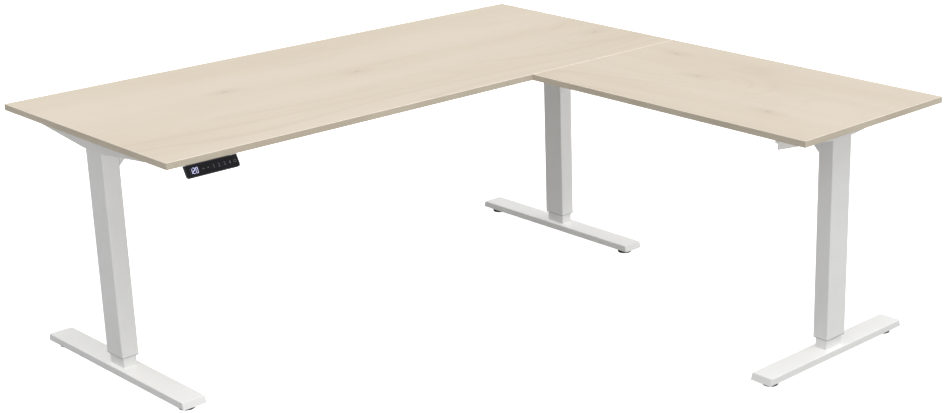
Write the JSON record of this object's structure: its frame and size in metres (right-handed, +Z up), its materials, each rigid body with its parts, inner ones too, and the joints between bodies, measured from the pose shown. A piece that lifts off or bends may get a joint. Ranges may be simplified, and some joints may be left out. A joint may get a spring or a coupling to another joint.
{
  "type": "height adjustable corner desk",
  "caption": "L-shaped electric sit-stand desk: pale wood-look top with a return, telescopic white columns on flat T feet, black touch handset.",
  "frame": {"origin": "on the floor, under the middle of the whole desk", "axes": "+X along the main top to the end that carries the return, +Y to the back of the main top, +Z up"},
  "size_m": [1.8, 1.802, 0.715],
  "materials": {
    "desktop_decor": "matte",
    "edge_decor": "matte",
    "powder_coat": "satin",
    "zinc_steel": "satin",
    "bright_steel": "satin",
    "cast_alloy": "matte",
    "motor_black": "satin",
    "guide_grey": "matte",
    "glide_black": "matte",
    "box_black": "matte",
    "socket_black": "matte",
    "handset_black": "matte",
    "handset_gloss": "gloss"
  },
  "bodies": {
    "left_base": {"left_foot_beam": "powder_coat", "left_inner_tube": "powder_coat", "left_push_tube": "bright_steel", "left_foot_bolts": "zinc_steel"},
    "left_glide_a": {"left_glide_a": "glide_black"},
    "left_glide_b": {"left_glide_b": "glide_black"},
    "left_spindle": {"left_spindle": "bright_steel"},
    "left_worm": {"left_worm": "bright_steel"},
    "corner_base": {"corner_foot_beam": "powder_coat", "corner_inner_tube": "powder_coat", "corner_push_tube": "bright_steel", "corner_foot_bolts": "zinc_steel"},
    "corner_glide_a": {"corner_glide_a": "glide_black"},
    "corner_glide_b": {"corner_glide_b": "glide_black"},
    "corner_spindle": {"corner_spindle": "bright_steel"},
    "corner_worm": {"corner_worm": "bright_steel"},
    "return_base": {"return_foot_beam": "powder_coat", "return_inner_tube": "powder_coat", "return_push_tube": "bright_steel", "return_foot_bolts": "zinc_steel"},
    "return_glide_a": {"return_glide_a": "glide_black"},
    "return_glide_b": {"return_glide_b": "glide_black"},
    "return_spindle": {"return_spindle": "bright_steel"},
    "return_worm": {"return_worm": "bright_steel"},
    "top": {"left_outer_tube": "powder_coat", "left_gearbox": "cast_alloy", "left_motor": "motor_black", "left_motor_housing": "powder_coat", "left_side_bracket": "powder_coat", "corner_outer_tube": "powder_coat", "corner_gearbox": "cast_alloy", "corner_motor": "motor_black", "corner_motor_housing": "powder_coat", "corner_side_bracket": "powder_coat", "return_outer_tube": "powder_coat", "return_gearbox": "cast_alloy", "return_motor": "motor_black", "return_motor_housing": "powder_coat", "return_side_bracket": "powder_coat", "guide_rings": "guide_grey", "main_rail_left": "powder_coat", "main_rail_right": "powder_coat", "main_rail_insert": "zinc_steel", "return_rail_front": "powder_coat", "return_rail_rear": "powder_coat", "return_rail_insert": "zinc_steel", "rail_joint_bracket": "powder_coat", "frame_bolts": "zinc_steel", "rail_clamp_screws": "zinc_steel", "seam_plates": "zinc_steel", "wood_screws": "zinc_steel", "main_desktop": "desktop_decor", "main_edge_band": "edge_decor", "return_desktop": "desktop_decor", "return_edge_band": "edge_decor", "control_box_base": "box_black", "control_box_cover": "box_black", "control_box_sockets": "socket_black", "handset_housing": "handset_black", "handset_panel": "handset_gloss"}
  },
  "joints": [
    {"name": "lift", "type": "slide", "parent": "left_base", "child": "top", "axis": [0, 0, 1], "range_m": [0, 0.485]},
    {"name": "corner_lift", "type": "slide", "parent": "top", "child": "corner_base", "axis": [0, 0, -1], "range_m": [0, 0.485]},
    {"name": "return_lift", "type": "slide", "parent": "top", "child": "return_base", "axis": [0, 0, -1], "range_m": [0, 0.485]},
    {"name": "left_spindle_turn", "type": "hinge", "parent": "top", "child": "left_spindle", "pos_m": [-0.82, 0.548, 0.668], "axis": [0, 0, 1], "range_deg": [0, 14560]},
    {"name": "left_worm_turn", "type": "hinge", "parent": "top", "child": "left_worm", "pos_m": [-0.82, 0.5653, 0.668], "axis": [1, 0, 0], "range_deg": [0, 291200]},
    {"name": "left_glide_a_screw", "type": "slide", "parent": "left_base", "child": "left_glide_a", "axis": [0, 0, -1], "range_m": [0, 0.008]},
    {"name": "left_glide_b_screw", "type": "slide", "parent": "left_base", "child": "left_glide_b", "axis": [0, 0, -1], "range_m": [0, 0.008]},
    {"name": "corner_spindle_turn", "type": "hinge", "parent": "top", "child": "corner_spindle", "pos_m": [0.82, 0.548, 0.668], "axis": [0, 0, 1], "range_deg": [0, 14560]},
    {"name": "corner_worm_turn", "type": "hinge", "parent": "top", "child": "corner_worm", "pos_m": [0.82, 0.5307, 0.668], "axis": [-1, 0, 0], "range_deg": [0, 291200]},
    {"name": "corner_glide_a_screw", "type": "slide", "parent": "corner_base", "child": "corner_glide_a", "axis": [0, 0, -1], "range_m": [0, 0.008]},
    {"name": "corner_glide_b_screw", "type": "slide", "parent": "corner_base", "child": "corner_glide_b", "axis": [0, 0, -1], "range_m": [0, 0.008]},
    {"name": "return_spindle_turn", "type": "hinge", "parent": "top", "child": "return_spindle", "pos_m": [0.592, -0.773, 0.668], "axis": [0, 0, 1], "range_deg": [0, 14560]},
    {"name": "return_worm_turn", "type": "hinge", "parent": "top", "child": "return_worm", "pos_m": [0.5747, -0.773, 0.668], "axis": [0, 1, 0], "range_deg": [0, 291200]},
    {"name": "return_glide_a_screw", "type": "slide", "parent": "return_base", "child": "return_glide_a", "axis": [0, 0, -1], "range_m": [0, 0.008]},
    {"name": "return_glide_b_screw", "type": "slide", "parent": "return_base", "child": "return_glide_b", "axis": [0, 0, -1], "range_m": [0, 0.008]}
  ],
  "couplings": [
    {"joint": "corner_lift", "follows": "lift", "ratio": 1},
    {"joint": "return_lift", "follows": "lift", "ratio": 1},
    {"joint": "left_spindle_turn", "follows": "lift", "rad_per_m": 523.6},
    {"joint": "left_worm_turn", "follows": "lift", "rad_per_m": 10472},
    {"joint": "corner_spindle_turn", "follows": "lift", "rad_per_m": 523.6},
    {"joint": "corner_worm_turn", "follows": "lift", "rad_per_m": 10472},
    {"joint": "return_spindle_turn", "follows": "lift", "rad_per_m": 523.6},
    {"joint": "return_worm_turn", "follows": "lift", "rad_per_m": 10472}
  ]
}
